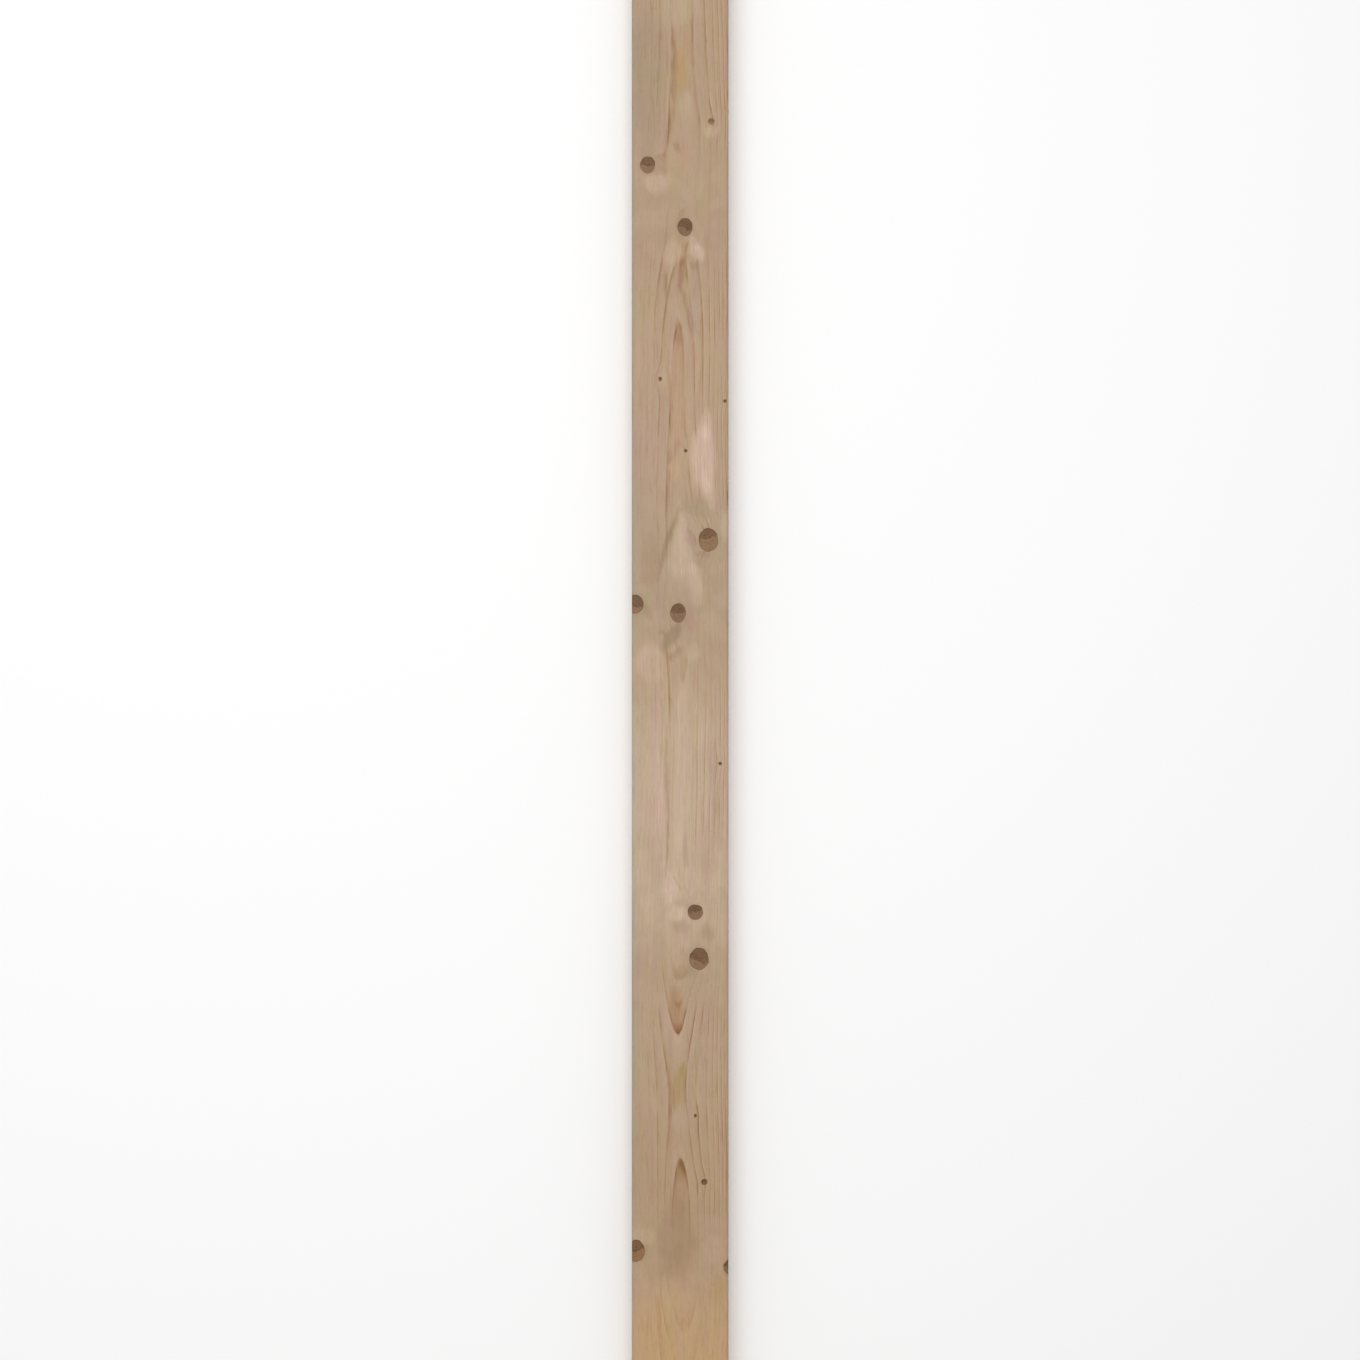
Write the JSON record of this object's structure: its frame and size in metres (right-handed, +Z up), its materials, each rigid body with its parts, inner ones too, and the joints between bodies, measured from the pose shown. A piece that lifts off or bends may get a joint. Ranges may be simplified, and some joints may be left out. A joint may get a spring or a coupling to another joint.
{
  "type": "timber plank",
  "caption": "Straight planed softwood plank of rectangular section, with rounded long edges and square-cut ends, for framing, shelving and general carpentry.",
  "frame": {"origin": "centre of the underside of the plank, which lies flat on its wide face", "axes": "+Y along the grain and the length, +X across the wide face, +Z up out of the knotty wide face"},
  "size_m": [0.14, 2.4, 0.038],
  "materials": {
    "planed_softwood": "planed bare softwood, matt, with brown knots and faint growth rings"
  },
  "bodies": {
    "root": {"plank": "planed_softwood"}
  },
  "joints": []
}
